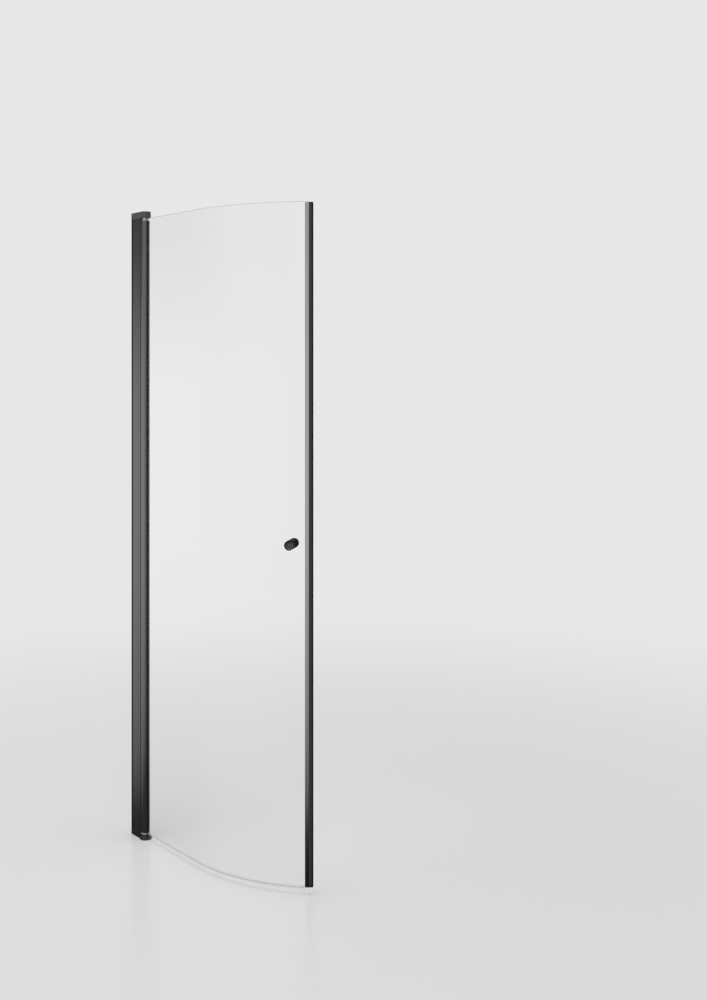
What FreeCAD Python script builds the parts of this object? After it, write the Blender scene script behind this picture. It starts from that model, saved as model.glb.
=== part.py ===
"""One leaf of a quadrant shower enclosure: a curved glass door on a wall profile, millimetres.

The origin is the point where the hinge axis meets the floor. +X runs along the closed glass away from
the wall, +Y points into the shower and +Z is up, so the wall is the plane X = -hinge_reach.
"""
import FreeCAD, Part
import math
import os
import re
import Sketcher

driving_sizes = {
    # the whole door
    "door_height": 1998,
    "hinge_reach": 65.5,
    "straight_run": 297,
    "bend_radius": 530,
    "glass_angle": 43.5,
    "glass_thickness": 6,
    # the wall channel and the post that telescopes over it
    "profile_width": 30,
    "channel_shown": 9.5,
    "channel_depth": 36,
    "channel_wall": 1.8,
    "channel_flange": 2.5,
    "channel_end_gap": 0.3,
    "slide_gap": 0.4,
    "adjust_travel": 15,
    "post_wall": 1.6,
    "post_web": 2,
    "web_gap": 2,
    "lip_setback": 8,
    "port_offset": 3.4,
    "port_wall": 2.1,
    "line_width": 0.7,
    "line_depth": 0.5,
    "line_setback": 20.5,
    # screws through the wall and across the two profiles
    "wall_hole_radius": 2.6,
    "wall_hole_end": 130,
    "wall_hole_pitch": 560,
    "clamp_end": 240,
    "clamp_setback": 7,
    "clamp_radius": 2,
    "clamp_hole_gap": 0.25,
    "clamp_head_width": 7,
    "clamp_head_height": 2.2,
    "clamp_tip": 0.8,
    "nut_width": 7,
    "nut_height": 3,
    "nut_gap": 0.15,
    "thread_gap": 0.05,
    # the hinge caps and their screws
    "cap_height": 20,
    "cap_overhang": 0.5,
    "cap_wall": 3,
    "cap_roof": 4,
    "cap_edge": 1,
    "foot_height": 17.5,
    "foot_overhang": 0.2,
    "foot_flare": 4,
    "screw_radius": 1.7,
    "screw_gap": 0.3,
    "screw_head_radius": 3.4,
    "screw_length": 32,
    "head_sink": 0.4,
    # the pivots
    "pin_radius": 4,
    "pin_seat": 12,
    "pin_reach": 18,
    "pin_chamfer": 1,
    "pin_clearance": 0.05,
    "press_gap": 0.03,
    "bush_wall": 2,
    "bush_length": 22,
    "collar_gap": 0.7,
    "top_collar_radius": 11.8,
    "thrust_gap": 0.2,
    "foot_gap": 4,
    "top_gap": 10,
    # the hinge tube
    "tube_radius": 15,
    "tube_wall": 1.8,
    "tube_gap": 0.5,
    "tube_web": 1.6,
    "hub_wall": 1.5,
    "lip_wall": 1.4,
    "gasket_side": 1.6,
    "gasket_back": 0.6,
    "glass_rise": 7.5,
    "glass_drop": 1.5,
    # the closing edge
    "closing_bite": 8.5,
    "closing_wall": 1.6,
    "closing_side": 1.4,
    "closing_back": 0.8,
    "closing_web": 2.2,
    "closing_inset": 3,
    "rail_half": 3.5,
    "rail_depth": 1.2,
    "rail_gap": 0.1,
    "magnet_width": 11.3,
    "magnet_bevel": 2.6,
    "magnet_nose_half": 4,
    "magnet_wall": 1.4,
    "core_depth": 5,
    "core_half": 3,
    "end_cap": 3,
    "end_plug": 8,
    "plug_gap": 0.1,
    # the bottom seal
    "seal_wall": 1.2,
    "seal_fit": 0.1,
    "seal_grip": 8,
    "seal_web": 2.6,
    "seal_fin": 1.6,
    "floor_gap": 3,
    "seal_lip_reach": 5,
    "seal_lip_drop": 8,
    "seal_start_gap": 4,
    "seal_end_gap": 1,
    # the knob pair
    "knob_height": 997,
    "knob_angle": 38.3,
    "knob_radius": 14,
    "knob_reach": 29,
    "knob_rim": 1.1,
    "dish_slope": 2.4,
    "dish_depth": 1.8,
    "knob_hole_radius": 6,
    "stud_radius": 3,
    "stud_bite": 16,
    "stud_gap": 0.05,
    "sleeve_gap": 0.2,
    "pad_radius": 13,
    "pad_thickness": 1.5,
    "pad_gap": 0.3,
    "grub_radius": 2,
    "grub_setback": 9,
    "grub_recess": 0.8,
}

# Places that follow from the sizes, each written in terms of sizes or of other places.
places = {
    "wall": "-hinge_reach",
    "profile_half": "profile_width / 2",
    "post_inner": "profile_half - post_wall",
    "post_back": "wall + channel_shown",
    "post_low": "foot_height",
    "post_high": "door_height - cap_height",
    "channel_half": "post_inner - slide_gap",
    "channel_inner": "channel_half - channel_wall",
    "channel_front": "wall + channel_depth",
    "channel_low": "post_low + channel_end_gap",
    "channel_high": "post_high - channel_end_gap",
    "web_back": "channel_front + web_gap",
    "web_front": "web_back + post_web",
    "port_x": "web_front + port_offset",
    "port_radius": "screw_radius + port_wall",
    "cradle_radius": "tube_radius + tube_gap",
    "cap_half": "profile_half + cap_overhang",
    "foot_half": "profile_half + foot_overhang",
    "foot_floor_half": "foot_half + foot_flare",
    "clamp_x": "post_back + clamp_setback",
    "clamp_pitch": "(post_high - post_low - 2 * clamp_end) / 2",
    "nut_outer": "channel_inner - nut_gap",
    "nut_inner": "nut_outer - nut_height",
    "head_depth": "screw_head_radius - screw_radius",
    "head_top": "profile_half + clamp_head_height",
    "hex_corner": "clamp_head_width / sqrt(3)",
    "hex_half": "clamp_head_width / 2",
    "tube_low": "post_low + foot_gap",
    "tube_high": "post_high - top_gap",
    "bush_radius": "pin_radius + pin_clearance + bush_wall",
    "bore_radius": "bush_radius + press_gap",
    "hub_radius": "bore_radius + hub_wall",
    "glass_half": "glass_thickness / 2",
    "glass_start": "hub_radius + gasket_back",
    "groove_half": "glass_half + gasket_side",
    "lip_half": "groove_half + lip_wall",
    "lip_front": "sqrt(tube_radius ^ 2 - lip_half ^ 2) - tube_wall / 2",
    "groove_front": "sqrt(tube_radius ^ 2 - groove_half ^ 2)",
    "glass_low": "tube_low - glass_drop",
    "glass_high": "tube_high + glass_rise",
    "foot_collar_low": "foot_height + thrust_gap",
    "top_collar_high": "post_high - collar_gap",
    "closing_groove_half": "glass_half + closing_side",
    "closing_half": "closing_groove_half + closing_wall",
    "closing_front": "closing_back + closing_web",
    "magnet_front": "closing_front + magnet_width",
    "core_front": "magnet_front - magnet_wall",
    "core_back": "core_front - core_depth",
    "closing_low": "glass_low + closing_inset",
    "closing_high": "glass_high - closing_inset",
    "strip_low": "closing_low + end_cap",
    "strip_high": "closing_high - end_cap",
    "seal_inner": "glass_half + seal_fit",
    "seal_outer": "seal_inner + seal_wall",
    "seal_web_high": "glass_low - seal_fit",
    "seal_web_low": "seal_web_high - seal_web",
    "seal_start": "foot_floor_half + seal_start_gap",
    "seal_angle": "glass_angle - (closing_bite + seal_end_gap) / bend_radius * 180 / pi",
    "pad_inner": "glass_half + pad_gap",
    "pad_outer": "pad_inner + pad_thickness",
    "knob_front": "glass_half + knob_reach",
    "dish_radius": "knob_radius - knob_rim",
    "stud_end": "pad_outer + stud_bite",
    "grub_place": "pad_outer + grub_setback",
}

doc = FreeCAD.newDocument("shower_door")
sheet = doc.addObject("Spreadsheet::Sheet", "sizes")
for row, (size_name, size_value) in enumerate(driving_sizes.items(), start=1):
    sheet.set(f"A{row}", size_name)
    sheet.set(f"B{row}", str(size_value))
    sheet.setAlias(f"B{row}", size_name)
doc.recompute()

nodes = []


def spell(text):
    """Writes a formula out in the sheet's own cells, with each place replaced by its formula."""
    def one_word(match):
        word = match.group(0)
        if word in places:
            return f"({spell(places[word])})"
        return f"sizes.{word}" if word in driving_sizes else word
    return re.sub(r"[a-z_]+", one_word, text)


def measure(text):
    return float(sheet.evalExpression(spell(text)))


def bind(item, field, text):
    item.setExpression(field, spell(text))


def new_body(label):
    return doc.addObject("PartDesign::Body", label)


def keep(item, label):
    """Marks an object as one finished piece of the door."""
    item.Label = label
    nodes.append(item)
    return item


def sketch_on(body, role, name, offset="0"):
    """An empty sketch parallel to one of the body's origin planes."""
    sketch = body.newObject("Sketcher::SketchObject", name)
    plane = next(item for item in body.Origin.OriginFeatures if item.Role == role)
    sketch.AttachmentSupport = [(plane, "")]
    sketch.MapMode = "FlatFace"
    bind(sketch, "AttachmentOffset.Base.z", offset)
    return sketch


def pin_down(sketch, shape, point, x, y):
    """Holds a point of the sketch at x, y from the sketch's origin."""
    for kind, axis, text in (("DistanceX", -2, x), ("DistanceY", -1, y)):
        if text == "0":
            sketch.addConstraint(Sketcher.Constraint("PointOnObject", shape, point, axis))
            continue
        index = sketch.addConstraint(Sketcher.Constraint(kind, -1, 1, shape, point, measure(text)))
        bind(sketch, f"Constraints[{index}]", text)


def draw_outline(sketch, corners):
    """A straight-sided closed outline."""
    points = [FreeCAD.Vector(measure(x), measure(y), 0) for x, y in corners]
    lines = []
    for start, end in zip(points, points[1:] + points[:1]):
        lines.append(sketch.addGeometry(Part.LineSegment(start, end)))
    for i, (x, y) in enumerate(corners):
        sketch.addConstraint(Sketcher.Constraint("Coincident", lines[i - 1], 2, lines[i], 1))
        pin_down(sketch, lines[i], 1, x, y)


def draw_rectangle(sketch, left, right, low, high):
    draw_outline(sketch, [(left, low), (right, low), (right, high), (left, high)])


def draw_circle(sketch, x, y, radius):
    centre = FreeCAD.Vector(measure(x), measure(y), 0)
    circle = sketch.addGeometry(Part.Circle(centre, FreeCAD.Vector(0, 0, 1), measure(radius)))
    pin_down(sketch, circle, 3, x, y)
    index = sketch.addConstraint(Sketcher.Constraint("Radius", circle, measure(radius)))
    bind(sketch, f"Constraints[{index}]", radius)


def draw_slot(sketch, left, right, y, radius):
    """A slot along the sketch's X axis, its ends round about left and right."""
    normal = FreeCAD.Vector(0, 0, 1)
    reach = measure(radius)
    ends = [FreeCAD.Vector(measure(x), measure(y), 0) for x in (left, right)]
    up = FreeCAD.Vector(0, reach, 0)
    first = Part.ArcOfCircle(Part.Circle(ends[0], normal, reach), math.pi / 2, 3 * math.pi / 2)
    last = Part.ArcOfCircle(Part.Circle(ends[1], normal, reach), -math.pi / 2, math.pi / 2)
    near = sketch.addGeometry(first)
    low = sketch.addGeometry(Part.LineSegment(ends[0] - up, ends[1] - up))
    far = sketch.addGeometry(last)
    high = sketch.addGeometry(Part.LineSegment(ends[1] + up, ends[0] + up))
    for one, two in ((near, low), (low, far), (far, high), (high, near)):
        sketch.addConstraint(Sketcher.Constraint("Tangent", one, 2, two, 1))
    pin_down(sketch, near, 3, left, y)
    index = sketch.addConstraint(Sketcher.Constraint("DistanceX", -1, 1, far, 3, measure(right)))
    bind(sketch, f"Constraints[{index}]", right)
    index = sketch.addConstraint(Sketcher.Constraint("Radius", near, reach))
    bind(sketch, f"Constraints[{index}]", radius)


def draw_nose(sketch, back, half):
    """A straight-backed outline with a half-round nose about the hinge axis."""
    reach = measure(half)
    heel = measure(back)
    corners = [FreeCAD.Vector(x, y, 0) for x, y in ((0, -reach), (0, reach), (heel, reach), (heel, -reach))]
    arc = Part.ArcOfCircle(
        Part.Circle(FreeCAD.Vector(0, 0, 0), FreeCAD.Vector(0, 0, 1), reach), -math.pi / 2, math.pi / 2)
    nose = sketch.addGeometry(arc)
    left = sketch.addGeometry(Part.LineSegment(corners[1], corners[2]))
    heel_line = sketch.addGeometry(Part.LineSegment(corners[2], corners[3]))
    right = sketch.addGeometry(Part.LineSegment(corners[3], corners[0]))
    sketch.addConstraint(Sketcher.Constraint("Coincident", nose, 3, -1, 1))
    sketch.addConstraint(Sketcher.Constraint("Tangent", nose, 2, left, 1))
    sketch.addConstraint(Sketcher.Constraint("Coincident", left, 2, heel_line, 1))
    sketch.addConstraint(Sketcher.Constraint("Coincident", heel_line, 2, right, 1))
    sketch.addConstraint(Sketcher.Constraint("Tangent", right, 2, nose, 1))
    sketch.addConstraint(Sketcher.Constraint("Horizontal", left))
    sketch.addConstraint(Sketcher.Constraint("Vertical", heel_line))
    sketch.addConstraint(Sketcher.Constraint("Horizontal", right))
    index = sketch.addConstraint(Sketcher.Constraint("DistanceX", -1, 1, left, 2, heel))
    bind(sketch, f"Constraints[{index}]", back)
    index = sketch.addConstraint(Sketcher.Constraint("Radius", nose, reach))
    bind(sketch, f"Constraints[{index}]", half)


def pad(body, name, low, high, draw, *drawing):
    """Adds an upright prism between two heights."""
    sketch = sketch_on(body, "XY_Plane", f"{name}_sketch", low)
    draw(sketch, *drawing)
    feature = body.newObject("PartDesign::Pad", name)
    feature.Profile = sketch
    bind(feature, "Length", f"{high} - ({low})")
    return feature


def pocket(body, name, low, high, draw, *drawing):
    """Cuts an upright prism between two heights."""
    sketch = sketch_on(body, "XY_Plane", f"{name}_sketch", high)
    draw(sketch, *drawing)
    feature = body.newObject("PartDesign::Pocket", name)
    feature.Profile = sketch
    bind(feature, "Length", f"{high} - ({low})")
    return feature


def turn(body, name, role, corners):
    """Adds a turned form: corners are distance from the axis, then place along it."""
    sketch = sketch_on(body, role, f"{name}_sketch")
    draw_outline(sketch, corners)
    feature = body.newObject("PartDesign::Revolution", name)
    feature.Profile = sketch
    feature.ReferenceAxis = (sketch, ["V_Axis"])
    feature.Angle = 360
    return feature


def sweep_with_glass(body, name, start, angle, corners):
    """Sweeps a cross-section along the glass: straight from start to the bend, then round by angle."""
    sketch = sketch_on(body, "YZ_Plane", f"{name}_section", "straight_run")
    draw_outline(sketch, corners)
    centre = FreeCAD.Vector(measure("bend_radius"), 0, 0)
    up = FreeCAD.Vector(0, measure("door_height"), 0)
    axis = sketch.addGeometry(Part.LineSegment(centre, centre + up), True)
    sketch.addConstraint(Sketcher.Constraint("Vertical", axis))
    pin_down(sketch, axis, 1, "bend_radius", "0")
    index = sketch.addConstraint(Sketcher.Constraint("DistanceY", axis, 1, axis, 2, measure("door_height")))
    bind(sketch, f"Constraints[{index}]", "door_height")
    straight = body.newObject("PartDesign::Pad", f"{name}_straight")
    straight.Profile = sketch
    straight.Reversed = True
    bind(straight, "Length", f"straight_run - ({start})")
    bend = body.newObject("PartDesign::Revolution", f"{name}_bend")
    bend.Profile = sketch
    bend.ReferenceAxis = (sketch, ["Axis0"])
    bind(bend, "Angle", angle)


def stand_on_bend(body, angle, height="0"):
    """Places a body on the glass's middle line where it has turned by angle, local X along the glass."""
    bind(body, "Placement.Base.x", f"straight_run + bend_radius * sin({angle})")
    bind(body, "Placement.Base.y", f"bend_radius * (1 - cos({angle}))")
    bind(body, "Placement.Base.z", height)
    bind(body, "Placement.Rotation.Angle", angle)


def group(label, bodies):
    """Several like pieces kept together as separate solids."""
    compound = doc.addObject("Part::Compound", label)
    compound.Links = bodies
    keep(compound, label)


# Wall channel: a flanged U-shaped extrusion screwed to the wall, open towards the door.
channel = keep(new_body("wall_channel"), "wall_channel")
pad(channel, "channel_bar", "channel_low", "channel_high",
    draw_rectangle, "wall", "channel_front", "-channel_half", "channel_half")
pad(channel, "channel_flanges", "channel_low", "channel_high",
    draw_rectangle, "wall", "wall + channel_flange", "-profile_half", "profile_half")
pocket(channel, "channel_hollow", "channel_low", "channel_high",
       draw_rectangle, "wall + channel_wall", "channel_front", "-channel_inner", "channel_inner")
wall_hole_places = [
    "channel_low + wall_hole_end",
    "channel_low + wall_hole_end + wall_hole_pitch",
    "channel_high - wall_hole_end - wall_hole_pitch",
    "channel_high - wall_hole_end",
]
wall_holes = sketch_on(channel, "YZ_Plane", "wall_holes_sketch", "wall + channel_wall")
for hole_place in wall_hole_places:
    draw_circle(wall_holes, "0", hole_place, "wall_hole_radius")
wall_hole_cut = channel.newObject("PartDesign::Pocket", "wall_holes")
wall_hole_cut.Profile = wall_holes
bind(wall_hole_cut, "Length", "channel_wall")

clamp_places = [f"post_low + clamp_end + {i} * clamp_pitch" for i in range(3)]
clamp_hole = "clamp_radius + clamp_hole_gap"
clamp_slots = sketch_on(channel, "XZ_Plane", "clamp_slots_sketch", "-channel_inner")
for clamp_place in clamp_places:
    draw_slot(clamp_slots, "clamp_x", "clamp_x + adjust_travel", clamp_place, clamp_hole)
clamp_slot_cut = channel.newObject("PartDesign::Pocket", "clamp_slots")
clamp_slot_cut.Profile = clamp_slots
bind(clamp_slot_cut, "Length", "channel_wall")

# Hinge post: the extrusion that slides over the channel and cradles the hinge tube.
post = keep(new_body("hinge_post"), "hinge_post")
pad(post, "post_bar", "post_low", "post_high",
    draw_rectangle, "post_back", "-lip_setback", "-profile_half", "profile_half")
pocket(post, "channel_room", "post_low", "post_high",
       draw_rectangle, "post_back", "web_back", "-post_inner", "post_inner")
pocket(post, "front_chamber", "post_low", "post_high",
       draw_rectangle, "web_front", "-cradle_radius - post_wall", "-post_inner", "post_inner")
pad(post, "screw_port", "post_low", "post_high", draw_circle, "port_x", "0", "port_radius")
pocket(post, "cradle_hollow", "post_low", "post_high", draw_circle, "0", "0", "cradle_radius")
pocket(post, "port_hole", "post_low", "post_high", draw_circle, "port_x", "0", "screw_radius + thread_gap")
for line_low, line_high in (("-profile_half", "-profile_half + line_depth"),
                            ("profile_half - line_depth", "profile_half")):
    pocket(post, "face_line", "post_low", "post_high", draw_rectangle,
           "-line_setback - line_width / 2", "-line_setback + line_width / 2", line_low, line_high)
clamp_holes = sketch_on(post, "XZ_Plane", "clamp_holes_sketch", "-post_inner")
for clamp_place in clamp_places:
    draw_circle(clamp_holes, "clamp_x", clamp_place, clamp_hole)
clamp_hole_cut = post.newObject("PartDesign::Pocket", "clamp_holes")
clamp_hole_cut.Profile = clamp_holes
bind(clamp_hole_cut, "Length", "post_wall")


def screw_hole(body, mouth, throat, far_end):
    """Cuts a countersunk hole for a cap screw in line with the post's screw port."""
    sketch = sketch_on(body, "XZ_Plane", "screw_hole_sketch")
    bind(sketch, "AttachmentOffset.Base.x", "port_x")
    draw_outline(sketch, [
        ("0", mouth),
        ("screw_head_radius + screw_gap + head_sink", mouth),
        ("screw_radius + screw_gap", throat),
        ("screw_radius + screw_gap", far_end),
        ("0", far_end),
    ])
    feature = body.newObject("PartDesign::Groove", "screw_hole")
    feature.Profile = sketch
    feature.ReferenceAxis = (sketch, ["V_Axis"])
    feature.Angle = 360


# Upper hinge cap: a cast cover that closes the profile and holds the upper pin in its nose.
cap = keep(new_body("top_cap"), "top_cap")
cap_block = pad(cap, "cap_block", "post_high", "door_height", draw_nose, "wall", "cap_half")
doc.recompute()
touching = 0.01
roof_edges = []
for number, edge in enumerate(cap_block.Shape.Edges, start=1):
    box = edge.BoundBox
    on_roof = box.ZMin > measure("door_height") - touching
    on_wall = box.XMax < measure("wall") + touching
    if on_roof and not on_wall:
        roof_edges.append(f"Edge{number}")
cap_edge = cap.newObject("PartDesign::Chamfer", "cap_edge")
cap_edge.Base = (cap_block, roof_edges)
bind(cap_edge, "Size", "cap_edge")
pocket(cap, "cap_hollow", "post_high", "door_height - cap_roof", draw_rectangle,
       "wall + cap_wall", "web_back", "-cap_half + cap_wall", "cap_half - cap_wall")
pocket(cap, "cap_pin_seat", "post_high", "post_high + pin_seat",
       draw_circle, "0", "0", "pin_radius + press_gap")
screw_hole(cap, "door_height", "door_height - head_sink - head_depth", "post_high")

# Lower hinge cap: stands on the floor, flares out round the pivot and carries the door on its top.
foot = keep(new_body("bottom_cap"), "bottom_cap")
pad(foot, "foot_block", "0", "foot_height", draw_nose, "wall", "foot_half")
turn(foot, "foot_flare", "XZ_Plane", [
    ("0", "0"),
    ("foot_floor_half", "0"),
    ("foot_half", "foot_height"),
    ("0", "foot_height"),
])
pocket(foot, "foot_pin_seat", "foot_height - pin_seat", "foot_height",
       draw_circle, "0", "0", "pin_radius + press_gap")
screw_hole(foot, "0", "head_sink + head_depth", "foot_height")

# Pivot pins: plain steel dowels pressed into the two caps, chamfered where they enter the bushes.
top_pin = new_body("top_pin")
turn(top_pin, "pin", "XZ_Plane", [
    ("0", "post_high + pin_seat"),
    ("0", "tube_high - pin_reach"),
    ("pin_radius - pin_chamfer", "tube_high - pin_reach"),
    ("pin_radius", "tube_high - pin_reach + pin_chamfer"),
    ("pin_radius", "post_high + pin_seat"),
])
bottom_pin = new_body("bottom_pin")
turn(bottom_pin, "pin", "XZ_Plane", [
    ("0", "foot_height - pin_seat"),
    ("pin_radius", "foot_height - pin_seat"),
    ("pin_radius", "tube_low + pin_reach - pin_chamfer"),
    ("pin_radius - pin_chamfer", "tube_low + pin_reach"),
    ("0", "tube_low + pin_reach"),
])
group("pivot_pins", [top_pin, bottom_pin])


# Cap screws: countersunk, one through each cap into the post's screw port.
def cap_screw(head_end, head_throat, tip):
    screw = new_body("cap_screw")
    turn(screw, "cap_screw_form", "XZ_Plane", [
        ("0", head_end),
        ("screw_head_radius", head_end),
        ("screw_radius", head_throat),
        ("screw_radius", tip),
        ("0", tip),
    ])
    bind(screw, "Placement.Base.x", "port_x")
    return screw


group("cap_screws", [
    cap_screw("door_height - head_sink", "door_height - head_sink - head_depth",
              "door_height - head_sink - screw_length"),
    cap_screw("head_sink", "head_sink + head_depth", "head_sink + screw_length"),
])


# Clamping screws: hexagon-headed, across the post and the channel's slots from inside the shower,
# into square nuts.
def clamp_piece(label, height):
    body = new_body(label)
    bind(body, "Placement.Base.x", "clamp_x")
    bind(body, "Placement.Base.z", height)
    return body


clamp_screws, clamp_nuts = [], []
for clamp_place in clamp_places:
    screw = clamp_piece("clamp_screw", clamp_place)
    turn(screw, "clamp_screw_form", "XY_Plane", [
        ("0", "nut_inner - clamp_tip"),
        ("clamp_radius", "nut_inner - clamp_tip"),
        ("clamp_radius", "profile_half"),
        ("0", "profile_half"),
    ])
    head_outline = sketch_on(screw, "XZ_Plane", "head_outline", "-head_top")
    draw_outline(head_outline, [
        ("hex_corner", "0"), ("hex_corner / 2", "hex_half"), ("-hex_corner / 2", "hex_half"),
        ("-hex_corner", "0"), ("-hex_corner / 2", "-hex_half"), ("hex_corner / 2", "-hex_half"),
    ])
    clamp_head = screw.newObject("PartDesign::Pad", "clamp_head")
    clamp_head.Profile = head_outline
    bind(clamp_head, "Length", "clamp_head_height")
    clamp_screws.append(screw)
    nut = clamp_piece("clamp_nut", clamp_place)
    nut_block = nut.newObject("PartDesign::Pad", "nut_block")
    nut_outline = sketch_on(nut, "XZ_Plane", "nut_outline", "-nut_outer")
    draw_rectangle(nut_outline, "-nut_width / 2", "nut_width / 2", "-nut_width / 2", "nut_width / 2")
    draw_circle(nut_outline, "0", "0", "clamp_radius + thread_gap")
    nut_block.Profile = nut_outline
    bind(nut_block, "Length", "nut_height")
    clamp_nuts.append(nut)
group("clamp_screws", clamp_screws)
group("clamp_nuts", clamp_nuts)

# Hinge tube: a round extrusion with a hub for the bushes and a groove that grips the glass.
tube = keep(new_body("hinge_tube"), "hinge_tube")
pad(tube, "tube_round", "tube_low", "tube_high", draw_circle, "0", "0", "tube_radius")
pocket(tube, "tube_hollow", "tube_low", "tube_high", draw_circle, "0", "0", "tube_radius - tube_wall")
pad(tube, "tube_webs", "tube_low", "tube_high", draw_rectangle,
    "-tube_web / 2", "tube_web / 2", "-tube_radius + tube_wall / 2", "tube_radius - tube_wall / 2")
pad(tube, "hub", "tube_low", "tube_high", draw_circle, "0", "0", "hub_radius")
pad(tube, "glazing_lips", "tube_low", "tube_high", draw_rectangle, "0", "lip_front", "-lip_half", "lip_half")
pocket(tube, "glazing_groove", "tube_low", "tube_high", draw_rectangle,
       "hub_radius", "tube_radius", "-groove_half", "groove_half")
pocket(tube, "bush_bore", "tube_low", "tube_high", draw_circle, "0", "0", "bore_radius")


# Hinge bushes: acetal sleeves with round collars on the ends of the tube, slotted for the glass.
def hinge_bush(label, low, high, collar_low, collar_high, collar_radius):
    bush = new_body(label)
    pad(bush, "collar", collar_low, collar_high, draw_circle, "0", "0", collar_radius)
    pocket(bush, "collar_slot", collar_low, collar_high, draw_rectangle,
           "hub_radius", "tube_radius + tube_wall", "-groove_half", "groove_half")
    pad(bush, "sleeve", low, high, draw_circle, "0", "0", "bush_radius")
    pocket(bush, "pin_bore", low, high, draw_circle, "0", "0", "pin_radius + pin_clearance")
    return bush


group("hinge_bushes", [
    hinge_bush("top_bush", "tube_high - bush_length", "top_collar_high",
               "tube_high", "top_collar_high", "top_collar_radius"),
    hinge_bush("bottom_bush", "foot_collar_low", "tube_low + bush_length",
               "foot_collar_low", "tube_low", "tube_radius"),
])

# Hinge gasket: a soft U round the glass edge inside the tube's groove.
hinge_gasket = keep(new_body("hinge_gasket"), "hinge_gasket")
pad(hinge_gasket, "gasket_u", "tube_low", "tube_high", draw_outline, [
    ("hub_radius", "-groove_half"),
    ("groove_front", "-groove_half"),
    ("groove_front", "-glass_half"),
    ("glass_start", "-glass_half"),
    ("glass_start", "glass_half"),
    ("groove_front", "glass_half"),
    ("groove_front", "groove_half"),
    ("hub_radius", "groove_half"),
])

# Glass: one bent pane, flat beside the hinge and then round to the closing edge, drilled for the knob.
pane = new_body("glass_pane")
sweep_with_glass(pane, "glass", "glass_start", "glass_angle", [
    ("-glass_half", "glass_low"),
    ("glass_half", "glass_low"),
    ("glass_half", "glass_high"),
    ("-glass_half", "glass_high"),
])
knob_drill = new_body("knob_drill")
turn(knob_drill, "drill", "XY_Plane", [
    ("0", "-glass_thickness"),
    ("knob_hole_radius", "-glass_thickness"),
    ("knob_hole_radius", "glass_thickness"),
    ("0", "glass_thickness"),
])
stand_on_bend(knob_drill, "knob_angle", "knob_height")
glass_panel = doc.addObject("Part::Cut", "glass_panel")
glass_panel.Base = pane
glass_panel.Tool = knob_drill
keep(glass_panel, "glass_panel")

# Bottom seal: a clear profile pushed on the glass's lower edge, with a fin to the floor and a drip lip.
bottom_seal = keep(new_body("bottom_seal"), "bottom_seal")
sweep_with_glass(bottom_seal, "seal", "seal_start", "seal_angle", [
    ("-seal_outer", "glass_low + seal_grip"),
    ("-seal_outer", "seal_web_low"),
    ("-seal_fin / 2", "seal_web_low"),
    ("-seal_fin / 2", "floor_gap"),
    ("seal_fin / 2", "floor_gap"),
    ("seal_fin / 2", "seal_web_low"),
    ("seal_outer", "seal_web_low"),
    ("seal_outer + seal_lip_reach", "seal_web_low - seal_lip_drop"),
    ("seal_outer + seal_lip_reach", "seal_web_low - seal_lip_drop + seal_wall"),
    ("seal_outer", "seal_web_high"),
    ("seal_outer", "glass_low + seal_grip"),
    ("seal_inner", "glass_low + seal_grip"),
    ("seal_inner", "seal_web_high"),
    ("-seal_inner", "seal_web_high"),
    ("-seal_inner", "glass_low + seal_grip"),
])

# Closing edge: an aluminium section on the glass, its gasket, and the magnet strip clipped to its front.
closing_profile = keep(new_body("closing_profile"), "closing_profile")
pad(closing_profile, "closing_section", "closing_low", "closing_high", draw_outline, [
    ("-closing_bite", "-closing_half"),
    ("closing_front", "-closing_half"),
    ("closing_front", "-rail_half"),
    ("closing_front - rail_depth", "-rail_half"),
    ("closing_front - rail_depth", "rail_half"),
    ("closing_front", "rail_half"),
    ("closing_front", "closing_half"),
    ("-closing_bite", "closing_half"),
    ("-closing_bite", "closing_groove_half"),
    ("closing_back", "closing_groove_half"),
    ("closing_back", "-closing_groove_half"),
    ("-closing_bite", "-closing_groove_half"),
])
stand_on_bend(closing_profile, "glass_angle")
closing_gasket = keep(new_body("closing_gasket"), "closing_gasket")
pad(closing_gasket, "closing_gasket_u", "closing_low", "closing_high", draw_outline, [
    ("closing_back", "-closing_groove_half"),
    ("closing_back", "closing_groove_half"),
    ("-closing_bite", "closing_groove_half"),
    ("-closing_bite", "glass_half + seal_fit"),
    ("0", "glass_half + seal_fit"),
    ("0", "-glass_half - seal_fit"),
    ("-closing_bite", "-glass_half - seal_fit"),
    ("-closing_bite", "-closing_groove_half"),
])
stand_on_bend(closing_gasket, "glass_angle")
strip_nose = [
    ("closing_front", "-closing_half"),
    ("magnet_front - magnet_bevel", "-closing_half"),
    ("magnet_front", "-magnet_nose_half"),
    ("magnet_front", "magnet_nose_half"),
    ("magnet_front - magnet_bevel", "closing_half"),
    ("closing_front", "closing_half"),
]
magnet_strip = keep(new_body("magnet_strip"), "magnet_strip")
pad(magnet_strip, "strip_body", "strip_low", "strip_high", draw_outline, strip_nose)
pad(magnet_strip, "strip_rail", "strip_low", "strip_high", draw_rectangle,
    "closing_front - rail_depth + rail_gap", "closing_front", "-rail_half + rail_gap", "rail_half - rail_gap")
pocket(magnet_strip, "strip_hollow", "strip_low", "strip_high", draw_rectangle,
       "closing_front + magnet_wall", "core_front", "-core_half", "core_half")
stand_on_bend(magnet_strip, "glass_angle")
magnet_core = keep(new_body("magnet_core"), "magnet_core")
pad(magnet_core, "core_bar", "strip_low + end_plug", "strip_high - end_plug",
    draw_rectangle, "core_back", "core_front", "-core_half", "core_half")
stand_on_bend(magnet_core, "glass_angle")


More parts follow.
